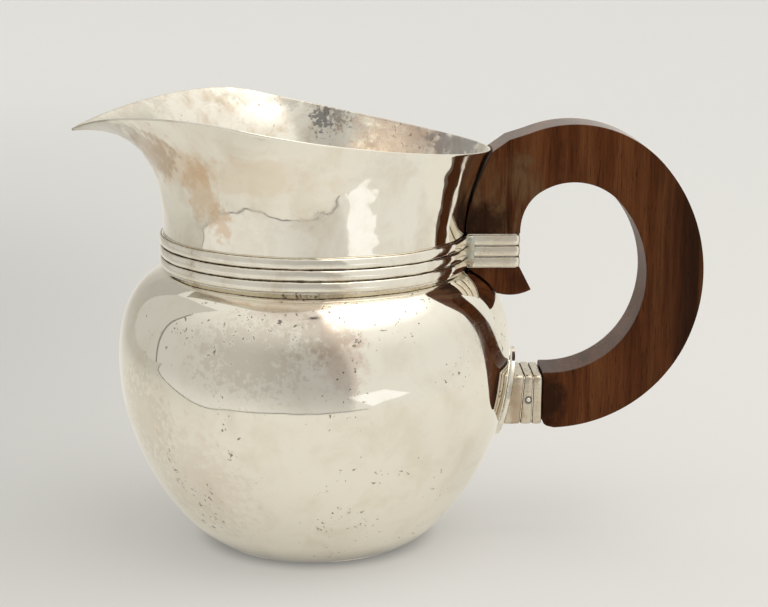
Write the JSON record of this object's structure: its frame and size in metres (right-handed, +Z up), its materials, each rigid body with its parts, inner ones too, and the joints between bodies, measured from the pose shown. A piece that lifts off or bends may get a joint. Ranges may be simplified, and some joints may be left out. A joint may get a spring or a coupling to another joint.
{
  "type": "water pitcher",
  "caption": "Hand-raised silver water pitcher with a round belly, a banded neck, a long drawn spout and a thick dark wooden C handle held by a clasp and a pinned socket.",
  "frame": {"origin": "centre of the flat base, on the surface that the pitcher stands on", "axes": "+Z up along the axis of the belly, +X towards the handle, the spout points to -X"},
  "size_m": [0.254, 0.1604, 0.1787],
  "materials": {
    "polished_silver": "polished by hand, soft planishing waves and light tarnish",
    "worked_silver": "polished on the faces, dark in the grooves",
    "rosewood": "satin, waxed"
  },
  "bodies": {
    "root": {"belly": "polished_silver", "base_disc": "polished_silver", "neck_spout": "polished_silver", "neck_band_lower": "worked_silver", "neck_band_middle": "worked_silver", "neck_band_upper": "worked_silver", "clasp_sleeve": "worked_silver", "clasp_strap_lower": "worked_silver", "clasp_strap_middle": "worked_silver", "clasp_strap_upper": "worked_silver", "handle": "rosewood", "socket_sleeve": "worked_silver", "socket_band_inner": "worked_silver", "socket_band_middle": "worked_silver", "socket_band_outer": "worked_silver", "socket_flange": "worked_silver", "socket_pin": "worked_silver"}
  },
  "joints": []
}
